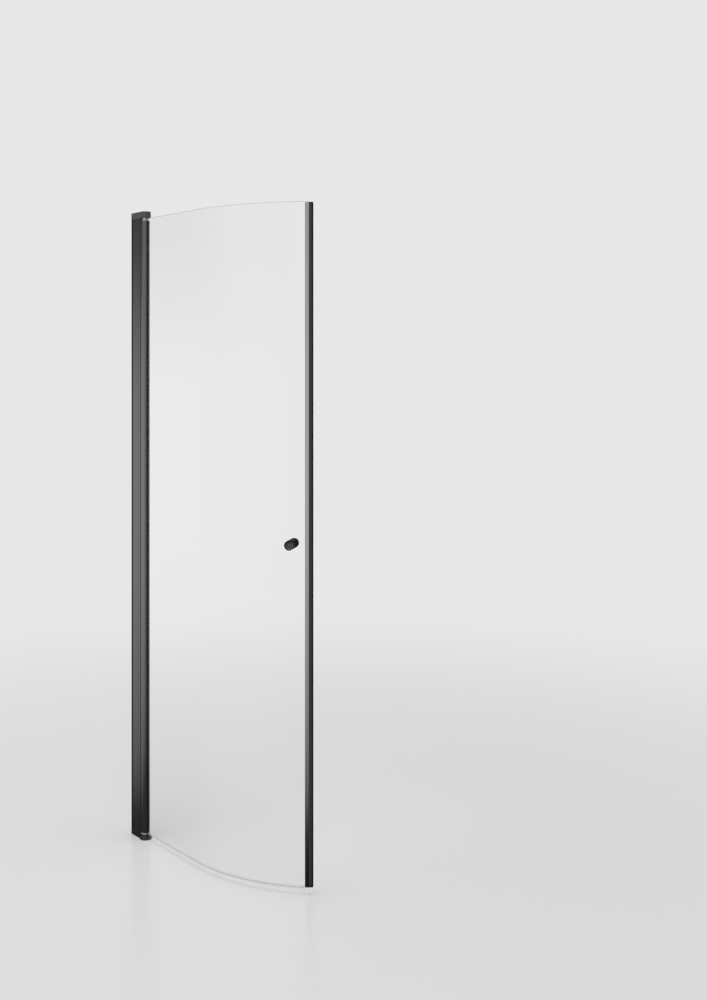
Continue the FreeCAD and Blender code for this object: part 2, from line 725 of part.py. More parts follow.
def closing_cap(label, plate_low, plate_high, plug_low, plug_high):
    """A moulded end plate with a plug that enters the strip's hollow."""
    end_piece = keep(new_body(label), label)
    pad(end_piece, "end_plate", plate_low, plate_high, draw_outline, strip_nose)
    pad(end_piece, "end_plug", plug_low, plug_high, draw_rectangle,
        "closing_front + magnet_wall + plug_gap", "core_front - plug_gap",
        "-core_half + plug_gap", "core_half - plug_gap")
    stand_on_bend(end_piece, "glass_angle")


closing_cap("closing_cap_top", "strip_high", "closing_high", "strip_high - end_plug", "strip_high")
closing_cap("closing_cap_bottom", "closing_low", "strip_low", "strip_low", "strip_low + end_plug")


# Knob pair: two turned knobs with dished faces on one stud through the glass, on soft pads.
# Local -Y is outside the shower.
def turned_knob(label, side):
    knob = keep(new_body(label), label)
    turn(knob, f"{label}_form", "XY_Plane", [
        ("stud_radius + stud_gap", f"{side}pad_outer"),
        ("knob_radius", f"{side}pad_outer"),
        ("knob_radius", f"{side}knob_front"),
        ("dish_radius", f"{side}knob_front"),
        ("dish_radius - dish_slope", f"{side}(knob_front - dish_depth)"),
        ("0", f"{side}(knob_front - dish_depth)"),
        ("0", f"{side}(stud_end + stud_gap)"),
        ("stud_radius + stud_gap", f"{side}(stud_end + stud_gap)"),
    ])
    stand_on_bend(knob, "knob_angle", "knob_height")
    return knob


turned_knob("outer_knob", "-")
inner_knob = turned_knob("inner_knob", "")
pocket(inner_knob, "grub_hole", "-knob_radius", "0", draw_circle, "0", "grub_place", "grub_radius")

knob_stud = keep(new_body("knob_stud"), "knob_stud")
turn(knob_stud, "stud", "XY_Plane", [
    ("0", "-stud_end"),
    ("stud_radius", "-stud_end"),
    ("stud_radius", "stud_end"),
    ("0", "stud_end"),
])
stand_on_bend(knob_stud, "knob_angle", "knob_height")
knob_sleeve = keep(new_body("knob_sleeve"), "knob_sleeve")
turn(knob_sleeve, "sleeve", "XY_Plane", [
    ("stud_radius + sleeve_gap", "-glass_half"),
    ("knob_hole_radius - sleeve_gap", "-glass_half"),
    ("knob_hole_radius - sleeve_gap", "glass_half"),
    ("stud_radius + sleeve_gap", "glass_half"),
])
stand_on_bend(knob_sleeve, "knob_angle", "knob_height")
knob_grub_screw = keep(new_body("knob_grub_screw"), "knob_grub_screw")
pad(knob_grub_screw, "grub", "-knob_radius + grub_recess", "-stud_radius",
    draw_circle, "0", "grub_place", "grub_radius - thread_gap")
stand_on_bend(knob_grub_screw, "knob_angle", "knob_height")
knob_pads = []
for side in ("-", ""):
    knob_pad = new_body("knob_pad")
    turn(knob_pad, "pad_ring", "XY_Plane", [
        ("stud_radius + sleeve_gap", f"{side}pad_inner"),
        ("pad_radius", f"{side}pad_inner"),
        ("pad_radius", f"{side}pad_outer"),
        ("stud_radius + sleeve_gap", f"{side}pad_outer"),
    ])
    stand_on_bend(knob_pad, "knob_angle", "knob_height")
    knob_pads.append(knob_pad)
group("knob_washers", knob_pads)

doc.recompute()
for item in doc.Objects:
    if {"Invalid", "Error"} & set(item.State):
        raise RuntimeError(f"{item.Label} could not be made")
for node in nodes:
    if node.Shape.isNull() or not node.Shape.isValid():
        raise RuntimeError(f"{node.Label} has no valid shape")
os.makedirs("parts", exist_ok=True)
for node in nodes:
    node.Shape.exportStep(f"parts/{node.Label}.step")
    print(f"{node.Label}: {len(node.Shape.Solids)} solids, {node.Shape.Volume / 1000:.2f} cm3")
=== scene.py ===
"""Looks of one leaf of a quadrant shower enclosure: a curved glass door on a black wall profile."""
import math

import bmesh
import bpy
from mathutils import Matrix, Vector
from mathutils.geometry import tessellate_polygon


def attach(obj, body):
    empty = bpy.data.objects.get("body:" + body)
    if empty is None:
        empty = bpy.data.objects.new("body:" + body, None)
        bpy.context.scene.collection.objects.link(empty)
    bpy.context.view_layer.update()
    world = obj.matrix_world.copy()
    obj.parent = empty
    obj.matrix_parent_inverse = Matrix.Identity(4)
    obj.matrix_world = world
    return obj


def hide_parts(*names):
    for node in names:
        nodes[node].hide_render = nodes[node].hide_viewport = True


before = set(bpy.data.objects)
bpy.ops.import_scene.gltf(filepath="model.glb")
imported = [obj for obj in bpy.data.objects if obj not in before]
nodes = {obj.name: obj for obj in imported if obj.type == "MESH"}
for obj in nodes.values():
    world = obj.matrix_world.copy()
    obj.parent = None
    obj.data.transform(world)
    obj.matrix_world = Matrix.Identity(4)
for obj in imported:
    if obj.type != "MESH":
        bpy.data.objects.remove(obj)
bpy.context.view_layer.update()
scene = bpy.context.scene
scene.view_settings.view_transform = "Standard"

# Camera: level, at about eye height in front of the door's hinge side, 3.9 m away.
# The picture is shifted down so that upright lines stay upright.
eye_place = (3.449, -1.982, 1.5)
look_x, look_y = -0.772, 0.6356
film_width, lens_length, picture_shift = 36, 44.28, -0.132
camera_data = bpy.data.cameras.new("camera")
camera_data.sensor_width = film_width
camera_data.lens = lens_length
camera_data.shift_y = picture_shift
camera = bpy.data.objects.new("camera", camera_data)
camera.location = eye_place
camera.rotation_euler = (math.pi / 2, 0, math.atan2(-look_x, look_y))
scene.collection.objects.link(camera)
scene.camera = camera


# Floor: a pale, slightly glossy floor that fades into the light backdrop a few metres out.
# Polished pieces see it through a painted shade round the door's foot, standing for the door's own shade,
# and painted brighter on one side.
def new_material(name):
    """An empty node material: returns it, its nodes, and a function that links two sockets."""
    material = bpy.data.materials.new(name)
    material.use_nodes = True
    tree = material.node_tree
    tree.nodes.clear()
    return material, tree.nodes, tree.links.new


def eased(parts, link, value, start, end, low=0.0, high=1.0):
    """Runs smoothly from low to high while a value goes from start to end."""
    ramp = parts.new("ShaderNodeMapRange")
    ramp.interpolation_type = "SMOOTHSTEP"
    for name, number in (("From Min", start), ("From Max", end), ("To Min", low), ("To Max", high)):
        ramp.inputs[name].default_value = number
    link(value, ramp.inputs["Value"])
    return ramp.outputs["Result"]


def worked_out(parts, link, operation, first, second, clamp=False):
    """One value worked out from two, held between 0 and 1 where clamp is set."""
    working = parts.new("ShaderNodeMath")
    working.operation = operation
    working.use_clamp = clamp
    link(first, working.inputs[0])
    link(second, working.inputs[1])
    return working.outputs["Value"]


def mixed(parts, link, share, first, second):
    """Mixes two shaders, with all of the second where the share is 1."""
    mix = parts.new("ShaderNodeMixShader")
    link(share, mix.inputs["Fac"])
    link(first, mix.inputs[1])
    link(second, mix.inputs[2])
    return mix.outputs["Shader"]


def pointing(parts, link, direction, way):
    """How far a direction points one way, from -1 to 1."""
    match = parts.new("ShaderNodeVectorMath")
    match.operation = "DOT_PRODUCT"
    match.inputs[1].default_value = way
    link(direction, match.inputs[0])
    return match.outputs["Value"]


bright_way = (-0.6356, -0.772, 0)
side_start, side_end = -0.5, 0.8
dim_side, bright_side = 0.32, 1.15
backdrop_grey, floor_grey = 0.80, 0.86
floor_roughness, floor_shine = 0.22, 0.35
floor_reach = 30.0
door_middle = (0.33, 0.07, 0)
fade_start, fade_end, least_fade = 0.4, 4.0, 0.35
glow_reach = 9.0
glow_steps = ((0.4, 0.05), (0.6, 0.1), (1.1, 0.45), (2.0, 0.68), (4.3, 0.9), (glow_reach, 1.0))
floor_corners = [(x * floor_reach, y * floor_reach, 0) for x, y in ((-1, -1), (1, -1), (1, 1), (-1, 1))]
floor_mesh = bpy.data.meshes.new("floor")
floor_mesh.from_pydata(floor_corners, [], [(0, 1, 2, 3)])
floor = bpy.data.objects.new("floor", floor_mesh)
scene.collection.objects.link(floor)
floor_material, parts, link = new_material("pale_floor")
floor_surface = parts.new("ShaderNodeBsdfPrincipled")
floor_surface.inputs["Base Color"].default_value = (floor_grey, floor_grey, floor_grey, 1)
floor_surface.inputs["Roughness"].default_value = floor_roughness
floor_surface.inputs["Specular IOR Level"].default_value = floor_shine
floor_place = parts.new("ShaderNodeNewGeometry")
from_door = parts.new("ShaderNodeVectorMath")
from_door.operation = "SUBTRACT"
from_door.inputs[1].default_value = door_middle
link(floor_place.outputs["Position"], from_door.inputs[0])
floor_distance = parts.new("ShaderNodeVectorMath")
floor_distance.operation = "LENGTH"
link(from_door.outputs["Vector"], floor_distance.inputs[0])
floor_way = parts.new("ShaderNodeVectorMath")
floor_way.operation = "NORMALIZE"
link(from_door.outputs["Vector"], floor_way.inputs[0])
far_floor = parts.new("ShaderNodeEmission")
far_floor.inputs["Color"].default_value = (backdrop_grey, backdrop_grey, backdrop_grey, 1)
faded = eased(parts, link, floor_distance.outputs["Value"], fade_start, fade_end, least_fade, 1)
seen_floor = mixed(parts, link, faded, floor_surface.outputs["BSDF"], far_floor.outputs["Emission"])
# Painted shade for polished pieces: dark round the door, brightening outwards.
floor_glow = parts.new("ShaderNodeValToRGB")
while len(floor_glow.color_ramp.elements) < len(glow_steps):
    floor_glow.color_ramp.elements.new(1.0)
for step, (distance, glow) in zip(floor_glow.color_ramp.elements, glow_steps):
    step.position = distance / glow_reach
    step.color = (glow, glow, glow, 1)
share_of_reach = parts.new("ShaderNodeMath")
share_of_reach.operation = "DIVIDE"
share_of_reach.inputs[1].default_value = glow_reach
link(floor_distance.outputs["Value"], share_of_reach.inputs[0])
link(share_of_reach.outputs["Value"], floor_glow.inputs["Fac"])
# Painted light: the floor that polished pieces see is brighter on one side.
facing_bright = pointing(parts, link, floor_way.outputs["Vector"], bright_way)
floor_side = eased(parts, link, facing_bright, side_start, side_end, dim_side, bright_side)
mirrored_floor = parts.new("ShaderNodeEmission")
link(floor_glow.outputs["Color"], mirrored_floor.inputs["Color"])
link(floor_side, mirrored_floor.inputs["Strength"])
ray_kind = parts.new("ShaderNodeLightPath")
only_mirrored = worked_out(
    parts, link, "SUBTRACT", ray_kind.outputs["Is Glossy Ray"], ray_kind.outputs["Is Transmission Ray"],
    clamp=True)
floor_mix = mixed(parts, link, only_mirrored, seen_floor, mirrored_floor.outputs["Emission"])
link(floor_mix, parts.new("ShaderNodeOutputMaterial").inputs["Surface"])
floor_mesh.materials.append(floor_material)

# Studio light: an even pale surround and one large soft lamp overhead.
# Polished pieces see a studio that is bright on one side and dim across from it.
# On the bright side it is shaded above eye height, most of all in one corner.
even_grey, even_strength = 0.9, 0.55
corner_way = (-0.86, -0.51, 0)
shade_start, shade_end, upper_shade = 0.1, 0.6, 0.5
corner_start, corner_end, corner_shade = 0.72, 0.93, 0.35
upper_start, upper_end = -0.03, 0.12
surround = bpy.data.worlds.new("surround")
surround.use_nodes = True
scene.world = surround
parts = surround.node_tree.nodes
parts.clear()
link = surround.node_tree.links.new
shown_surround = parts.new("ShaderNodeBackground")
shown_surround.inputs["Color"].default_value = (backdrop_grey, backdrop_grey, backdrop_grey, 1)
lighting_surround = parts.new("ShaderNodeBackground")
lighting_surround.inputs["Color"].default_value = (even_grey, even_grey, even_grey, 1)
lighting_surround.inputs["Strength"].default_value = even_strength
mirrored_surround = parts.new("ShaderNodeBackground")
mirrored_surround.inputs["Color"].default_value = (1, 1, 1, 1)
sky_way = parts.new("ShaderNodeTexCoord").outputs["Generated"]
sky_height = parts.new("ShaderNodeSeparateXYZ")
link(sky_way, sky_height.inputs["Vector"])
facing_bright = pointing(parts, link, sky_way, bright_way)
facing_corner = pointing(parts, link, sky_way, corner_way)
shade = worked_out(
    parts, link, "ADD", eased(parts, link, facing_bright, shade_start, shade_end, 0, upper_shade),
    eased(parts, link, facing_corner, corner_start, corner_end, 0, corner_shade))
upper_half = eased(parts, link, sky_height.outputs["Z"], upper_start, upper_end)
unshaded = parts.new("ShaderNodeMath")
unshaded.operation = "SUBTRACT"
unshaded.inputs[0].default_value = 1.0
link(worked_out(parts, link, "MULTIPLY", upper_half, shade), unshaded.inputs[1])
sky_side = eased(parts, link, facing_bright, side_start, side_end, dim_side, bright_side)
link(worked_out(parts, link, "MULTIPLY", sky_side, unshaded.outputs["Value"]),
     mirrored_surround.inputs["Strength"])
ray_kind = parts.new("ShaderNodeLightPath")
straight_ray = worked_out(
    parts, link, "MAXIMUM", ray_kind.outputs["Is Camera Ray"], ray_kind.outputs["Is Transmission Ray"])
unseen_surround = mixed(
    parts, link, ray_kind.outputs["Is Glossy Ray"], lighting_surround.outputs["Background"],
    mirrored_surround.outputs["Background"])
whole_surround = mixed(parts, link, straight_ray, unseen_surround, shown_surround.outputs["Background"])
link(whole_surround, parts.new("ShaderNodeOutputWorld").inputs["Surface"])
lamp_place, lamp_target = Vector((0.6, -0.6, 4.2)), Vector((0.3, 0.1, 0.0))
lamp_width, lamp_watts = 3.0, 60
lamp_data = bpy.data.lights.new("overhead_lamp", "AREA")
lamp_data.shape = "RECTANGLE"
lamp_data.size = lamp_width
lamp_data.size_y = lamp_width
lamp_data.energy = lamp_watts
lamp = bpy.data.objects.new("overhead_lamp", lamp_data)
lamp.location = lamp_place
lamp.rotation_euler = (lamp_target - lamp_place).to_track_quat("-Z", "Y").to_euler()
lamp.visible_glossy = False
scene.collection.objects.link(lamp)

# Wall channel: the flanged U-shaped aluminium extrusion that the post slides on, in a satin black coat.
# Fine die lines run along its length, the coating has a faint orange-peel and is worn paler at the edges.
mm = 0.001
black_coat_colour = (0.016, 0.0163, 0.017)


def noise(parts, link, where, scale, detail):
    """An even noise over the piece."""
    pattern = parts.new("ShaderNodeTexNoise")
    pattern.inputs["Scale"].default_value = scale
    pattern.inputs["Detail"].default_value = detail
    link(where, pattern.inputs["Vector"])
    return pattern.outputs["Fac"]


def varied_colour(parts, link, pattern, colour, spread):
    """A colour that goes darker and lighter by a share as a pattern does."""
    tone = parts.new("ShaderNodeValToRGB")
    for step, place, share in zip(tone.color_ramp.elements, (0.3, 0.7), (1 - spread, 1 + spread)):
        step.position = place
        step.color = (*[c * share for c in colour], 1)
    link(pattern, tone.inputs["Fac"])
    return tone.outputs["Color"]


def varied_number(parts, link, pattern, low, high, start=0.0, end=1.0):
    """A number that runs evenly from low to high while a pattern goes from start to end."""
    spread = parts.new("ShaderNodeMapRange")
    for name, number in (("From Min", start), ("From Max", end), ("To Min", low), ("To Max", high)):
        spread.inputs[name].default_value = number
    link(pattern, spread.inputs["Value"])
    return spread.outputs["Result"]


def bumped(parts, link, height, depth, strength=0.5, under=None):
    """A relief with a depth in millimetres, laid over another where one is given."""
    bump = parts.new("ShaderNodeBump")
    bump.inputs["Strength"].default_value = strength
    bump.inputs["Distance"].default_value = depth * mm
    link(height, bump.inputs["Height"])
    if under:
        link(under, bump.inputs["Normal"])
    return bump.outputs["Normal"]


def lined_finish(name, colour, roughness, metallic=0.0, specular=0.5, index=1.5,
                 line_scale=(900, 900, 2.5), line_depth=0.02, grain_scale=1500, grain_depth=0.02, wear=0.0):
    """A finish with fine lines along the piece's length, a small even grain and paler worn edges.

    Depths are in millimetres, and wear is how much of the edge colour shows."""
    colour_spread, gloss_spread = 0.15, 0.06
    edge_reach, flat_at, worn_at = 0.8, 0.99, 0.80
    edge_share, edge_lift = 0.6, 0.06
    edge_colour = (*[c * edge_share + edge_lift for c in colour], 1)
    material, parts, link = new_material(name)
    surface = parts.new("ShaderNodeBsdfPrincipled")
    surface.inputs["Metallic"].default_value = metallic
    surface.inputs["Specular IOR Level"].default_value = specular
    surface.inputs["IOR"].default_value = index
    place = parts.new("ShaderNodeTexCoord").outputs["Object"]
    stretch = parts.new("ShaderNodeMapping")
    stretch.inputs["Scale"].default_value = line_scale
    link(place, stretch.inputs["Vector"])
    lines = noise(parts, link, stretch.outputs["Vector"], scale=1, detail=3)
    grain = noise(parts, link, place, grain_scale, detail=2)
    edge_view = parts.new("ShaderNodeBevel")
    edge_view.samples = 4
    edge_view.inputs["Radius"].default_value = edge_reach * mm
    facing = parts.new("ShaderNodeNewGeometry")
    flatness = parts.new("ShaderNodeVectorMath")
    flatness.operation = "DOT_PRODUCT"
    link(edge_view.outputs["Normal"], flatness.inputs[0])
    link(facing.outputs["Normal"], flatness.inputs[1])
    worn_tone = parts.new("ShaderNodeMix")
    worn_tone.data_type = "RGBA"
    worn_tone.inputs["B"].default_value = edge_colour
    link(eased(parts, link, flatness.outputs["Value"], flat_at, worn_at, 0, wear),
         worn_tone.inputs["Factor"])
    link(varied_colour(parts, link, lines, colour, colour_spread), worn_tone.inputs["A"])
    link(worn_tone.outputs["Result"], surface.inputs["Base Color"])
    link(varied_number(parts, link, lines, roughness - gloss_spread, roughness + gloss_spread),
         surface.inputs["Roughness"])
    line_relief = bumped(parts, link, lines, line_depth)
    link(bumped(parts, link, grain, grain_depth, under=line_relief), surface.inputs["Normal"])
    link(surface.outputs["BSDF"], parts.new("ShaderNodeOutputMaterial").inputs["Surface"])
    return material


def paint(piece, *materials):
    """Gives a piece its finish, in place of whatever it came with."""
    slots = piece.data.materials
    if slots:
        slots.clear()
    for material in materials:
        slots.append(material)


black_profile = lined_finish("black_profile", black_coat_colour, roughness=0.20, specular=1.0, wear=0.6)
paint(nodes["wall_channel"], black_profile)

# Hinge post: the black extrusion that slides over the channel and cradles the hinge tube.
# A narrow line runs up each broad face, and its long edges are eased by the die.
post_low, post_high = 17.5, 1978
post_half, post_inner = 15, 13.4
post_back, post_front, web_back = -56, -8, -27.5
cradle_radius = 15.5
line_place, line_half, line_deep = -20.5, 0.35, 0.5
post_edge, line_edge, lip_round, inner_edge = 0.8, 0.12, 0.3, 0.2


def rounded(corners, steps=4):
    """A closed outline from (x, y, rounding) corners, each rounded by its own radius."""
    outline = []
    for i, (x, y, radius) in enumerate(corners):
        here = Vector((x, y))
        if radius == 0:
            outline.append((x, y))
            continue
        back = (Vector(corners[i - 1][:2]) - here).normalized()
        ahead = (Vector(corners[(i + 1) % len(corners)][:2]) - here).normalized()
        half = back.angle(ahead) / 2
        centre = here + (back + ahead).normalized() * (radius / math.sin(half))
        spokes = [here + way * (radius / math.tan(half)) - centre for way in (back, ahead)]
        first, last = [math.atan2(spoke.y, spoke.x) for spoke in spokes]
        turn = (last - first + math.pi) % (2 * math.pi) - math.pi
        for step in range(steps + 1):
            angle = first + turn * step / steps
            outline.append((centre.x + radius * math.cos(angle), centre.y + radius * math.sin(angle)))
    return outline


def arc(radius, first, last, steps, x=0, y=0):
    """Points on a circle from one angle to another, in degrees."""
    turns = [math.radians(first + (last - first) * i / steps) for i in range(steps + 1)]
    return [(x + radius * math.cos(turn), y + radius * math.sin(turn)) for turn in turns]


def circle(radius, x=0, y=0, steps=64):
    return arc(radius, 0, 360, steps, x, y)[:-1]


def add_skin(mesh, levels):
    """Joins like outlines at several heights by a skin of quads, and returns its two end rings."""
    rings = [[mesh.verts.new((x * mm, y * mm, z * mm)) for x, y in outline] for outline, z in levels]
    for low, high in zip(rings, rings[1:]):
        for i in range(len(low)):
            mesh.faces.new((low[i - 1], low[i], high[i], high[i - 1]))
    return rings[0], rings[-1]


def close_end(mesh, *rings):
    """Closes an end: the first ring is the outer edge, and any others are holes in it."""
    corners = [corner for ring in rings for corner in ring]
    for triangle in tessellate_polygon([[corner.co for corner in ring] for ring in rings]):
        mesh.faces.new([corners[i] for i in triangle])


def add_bar(mesh, low, high, *outlines):
    """Adds an upright bar between two heights: an outline and any holes through it."""
    skins = [add_skin(mesh, [(outline, low), (outline, high)]) for outline in outlines]
    for end in (0, 1):
        close_end(mesh, *[skin[end] for skin in skins])


def finished(mesh, name, body, slot, *replaced, placement=None, sharp=35):
    """Turns a bmesh into a piece that rides on a body and stands for the named nodes."""
    bmesh.ops.recalc_face_normals(mesh, faces=mesh.faces)
    data = bpy.data.meshes.new(name)
    mesh.to_mesh(data)
    mesh.free()
    data.shade_smooth()
    data.set_sharp_from_angle(angle=math.radians(sharp))
    piece = bpy.data.objects.new(name, data)
    scene.collection.objects.link(piece)
    if placement:
        piece.matrix_world = placement
    even_shading = piece.modifiers.new("even_shading", "WEIGHTED_NORMAL")
    even_shading.keep_sharp = True
    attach(piece, body)
    if replaced:
        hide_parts(*replaced)
    return piece


def post_face(side):
    """The corners along one broad face, with its narrow line, from the back forwards."""
    corners = [(post_back, side * post_half, post_edge)]
    for x, depth in ((-line_half, 0), (-line_half, line_deep), (line_half, line_deep), (line_half, 0)):
        corners.append((line_place + x, side * (post_half - depth), line_edge))
    corners.append((post_front, side * post_half, lip_round))
    return corners


lip_edge = math.sqrt(cradle_radius ** 2 - post_front ** 2)
lip_angle = math.degrees(math.atan2(lip_edge, post_front))
cradle = arc(cradle_radius, 360 - lip_angle, lip_angle, steps=32)
post_outline = rounded(
    post_face(-1) + [(x, y, 0) for x, y in cradle] + post_face(1)[::-1] + [
        (post_back, post_inner, inner_edge), (web_back, post_inner, inner_edge),
        (web_back, -post_inner, inner_edge), (post_back, -post_inner, inner_edge)])
mesh = bmesh.new()
add_bar(mesh, post_low, post_high, post_outline)
hinge_post = finished(mesh, "hinge_post_dressed", "hinge_frame", "black_profile", "hinge_post")
paint(hinge_post, black_profile)

# Hinge caps: cast metal pieces, coated black like the profile, that close its two ends.
# The upper one, painted a shade greyer for the light that falls on it from above, has a softly rounded roof;
# the lower one flares out round the pivot.
wall_place = -65.5
door_height = 1998
cap_half, cap_roof_round = 15.5, 1.4
foot_half, foot_flare, foot_height = 15.2, 4, 17.5
foot_steps = (4, 8, 13)
cast_edge = 0.35
port_x = -22.1
screw_radius, screw_gap, screw_sink = 1.7, 0.3, 0.4
screw_head = 3.4
throat_deep = screw_sink + screw_head - screw_radius
nose_steps = 48


def cap_outline(half, nose):
    """Straight sides from a flat back that run into a round nose about the hinge axis."""
    meeting = math.sqrt(max(nose ** 2 - half ** 2, 0))
    turn = 90 + math.degrees(math.asin(min(meeting / nose, 1)))
    return [(wall_place, -half)] + arc(nose, -turn, turn, nose_steps) + [(wall_place, half)]


def rounded_edge(reach, top, rounding):
    """(reach, height) pairs over a quarter round, from an upright side on to a flat top."""
    leans = [math.radians(lean) for lean in range(0, 91, 15)]
    return [(reach - rounding * (1 - math.cos(lean)), top - rounding * (1 - math.sin(lean)))
            for lean in leans]


def add_screw_seat(mesh, face, into):
    """The countersunk hole in a cap's outer face; returns the ring of its mouth."""
    mouth = circle(screw_head + screw_gap + screw_sink, port_x)
    throat = circle(screw_radius + screw_gap, port_x)
    mouth_ring, throat_ring = add_skin(mesh, [(mouth, face), (throat, face + into * throat_deep)])
    close_end(mesh, throat_ring)
    return mouth_ring


cast_skin = {"line_scale": (60, 60, 60), "line_depth": 0.03, "grain_scale": 2200, "grain_depth": 0.03}
black_cast = lined_finish(
    "black_cast", black_coat_colour, roughness=0.34, specular=0.8, wear=0.6, **cast_skin)
# A copy of the cast finish painted a shade greyer: painted light from above on the upper cap.
upper_cast_painted_lighter = lined_finish(
    "upper_cast_painted_lighter", (0.05, 0.05, 0.052), roughness=0.4, specular=0.8, wear=0.6, **cast_skin)
mesh = bmesh.new()
cap_levels = [(cap_outline(cap_half - cast_edge, cap_half - cast_edge), post_high),
              (cap_outline(cap_half, cap_half), post_high + cast_edge)]
for half, height in rounded_edge(cap_half, door_height, cap_roof_round):
    cap_levels.append((cap_outline(half, half), height))
underside, roof = add_skin(mesh, cap_levels)
close_end(mesh, underside)
close_end(mesh, roof, add_screw_seat(mesh, door_height, -1))
top_cap = finished(mesh, "top_cap_dressed", "hinge_frame", "black_cast", "top_cap")
# The upper cap takes the copy with painted light.
paint(top_cap, upper_cast_painted_lighter)

mesh = bmesh.new()
foot_levels = []
for height, inset in ((0, cast_edge), (cast_edge, 0), *[(step, 0) for step in foot_steps],
                      (foot_height - cast_edge, 0), (foot_height, cast_edge)):
    nose = foot_half + foot_flare * (1 - height / foot_height)
    foot_levels.append((cap_outline(foot_half - inset, nose - inset), height))
sole, instep = add_skin(mesh, foot_levels)
close_end(mesh, sole, add_screw_seat(mesh, 0, 1))
close_end(mesh, instep)
bottom_cap = finished(mesh, "bottom_cap_dressed", "hinge_frame", "black_cast", "bottom_cap")
paint(bottom_cap, black_cast)

# Pivot pins: ground steel dowels pressed into the caps, chamfered where they enter the bushes.
# A short length of each shows bright where the caps and the bushes part.
pin_radius, pin_chamfer, pin_edge = 4, 1, 0.2
pin_ends = ((1990, 1950, -1), (5.5, 39.5, 1))
bright_steel = lined_finish(
    "bright_steel", (0.46, 0.46, 0.48), roughness=0.22, metallic=1, line_scale=(20, 20, 2600),
    line_depth=0.004, grain_scale=900, grain_depth=0.004)
mesh = bmesh.new()
for seat, tip, way in pin_ends:
    for ring in add_skin(mesh, [
            (circle(pin_radius - pin_edge), seat), (circle(pin_radius), seat + way * pin_edge),
            (circle(pin_radius), tip - way * pin_chamfer), (circle(pin_radius - pin_chamfer), tip)]):
        close_end(mesh, ring)
pivot_pins = finished(mesh, "pivot_pins_dressed", "hinge_frame", "pin_steel", "pivot_pins")
paint(pivot_pins, bright_steel)

# Cap screws: countersunk steel screws with a hexagon socket, blackened, one through each cap.
# They run into the screw port of the post.
screw_length = 32
head_edge, head_rim = 0.15, 0.1
socket_half, socket_deep = 1.45, 1.5
black_steel = lined_finish(
    "black_steel", (0.05, 0.05, 0.053), roughness=0.32, metallic=1, line_scale=(300, 300, 300),
    line_depth=0.006, grain_scale=2600, grain_depth=0.006)
mesh = bmesh.new()
for head, way in ((door_height - screw_sink, -1), (screw_sink, 1)):
    socket = circle(socket_half, port_x, steps=6)
    rim, tip = add_skin(mesh, [
        (circle(screw_head - head_edge, port_x), head), (circle(screw_head, port_x), head + way * head_rim),
        (circle(screw_radius, port_x), head + way * (screw_head - screw_radius)),
        (circle(screw_radius, port_x), head + way * screw_length)])
    mouth, base = add_skin(mesh, [(socket, head), (socket, head + way * socket_deep)])
    close_end(mesh, rim, mouth)
    close_end(mesh, base)
    close_end(mesh, tip)
cap_screws = finished(mesh, "cap_screws_dressed", "hinge_frame", "screw_steel", "cap_screws")
paint(cap_screws, black_steel)

# Clamping screws and square nuts: zinc-plated steel, from inside the shower through the post and
# the channel's slots. Moulded black covers hide the screw heads.
clamp_x = -49
clamp_heights = (257.5, 997.75, 1738)
cover_radius, cover_deep, cover_round = 5, 3.6, 1.3
crown_radius, crown_rise = 1.2, 0.12
zinc_steel = lined_finish(
    "zinc_steel", (0.55, 0.55, 0.56), roughness=0.3, metallic=1, line_scale=(400, 400, 400),
    line_depth=0.006, grain_scale=2000, grain_depth=0.006)
for name in ("clamp_screws", "clamp_nuts"):
    paint(nodes[name], zinc_steel)
black_moulding = lined_finish(
    "black_moulding", (0.022, 0.022, 0.023), roughness=0.42, specular=0.45, line_scale=(120, 120, 120),
    line_depth=0.02, grain_scale=3000, grain_depth=0.02)
cover_profile = [(cover_radius, 0)] + rounded_edge(cover_radius, cover_deep, cover_round)
cover_profile.append((crown_radius, cover_deep + crown_rise))
mesh = bmesh.new()
for height in clamp_heights:
    made = set(mesh.verts)
    for ring in add_skin(mesh, [(circle(radius), z) for radius, z in cover_profile]):
        close_end(mesh, ring)
    stand = (Matrix.Translation((clamp_x * mm, post_half * mm, height * mm))
             @ Matrix.Rotation(-math.pi / 2, 4, "X"))
    bmesh.ops.transform(mesh, matrix=stand, verts=[corner for corner in mesh.verts if corner not in made])
clamp_covers = finished(mesh, "clamp_screw_covers", "hinge_frame", "strip_pvc")
paint(clamp_covers, black_moulding)

# Hinge tube: the round black extrusion that turns on the pins, slotted for the edge of the glass.
# It is drawn in one piece with its hub, and its coat is glossier than the post's.
tube_low, tube_high, tube_radius = 21.5, 1968, 15
hub_radius, bore_radius, groove_half = 7.58, 6.08, 4.6
slot_edge = 0.4


def slotted_round(radius):
    """A round outline with the slot for the glass, its two outer edges eased."""
    slot_turn = math.degrees(math.asin(groove_half / radius))
    ring = [(x, y, 0) for x, y in arc(radius, slot_turn, 360 - slot_turn, steps=96)]
    first, last = [(x, y, slot_edge) for x, y, _ in (ring[0], ring[-1])]
    slot = [(hub_radius, -groove_half, 0), (hub_radius, groove_half, 0)]
    return rounded([first] + ring[1:-1] + [last] + slot)


mesh = bmesh.new()
add_bar(mesh, tube_low, tube_high, slotted_round(tube_radius), circle(bore_radius))
hinge_tube = finished(mesh, "hinge_tube_dressed", "door", "black_profile", "hinge_tube")
glossy_black = lined_finish(
    "glossy_black", black_coat_colour, roughness=0.2, specular=1.0, index=1.75, wear=0.6)
paint(hinge_tube, glossy_black)

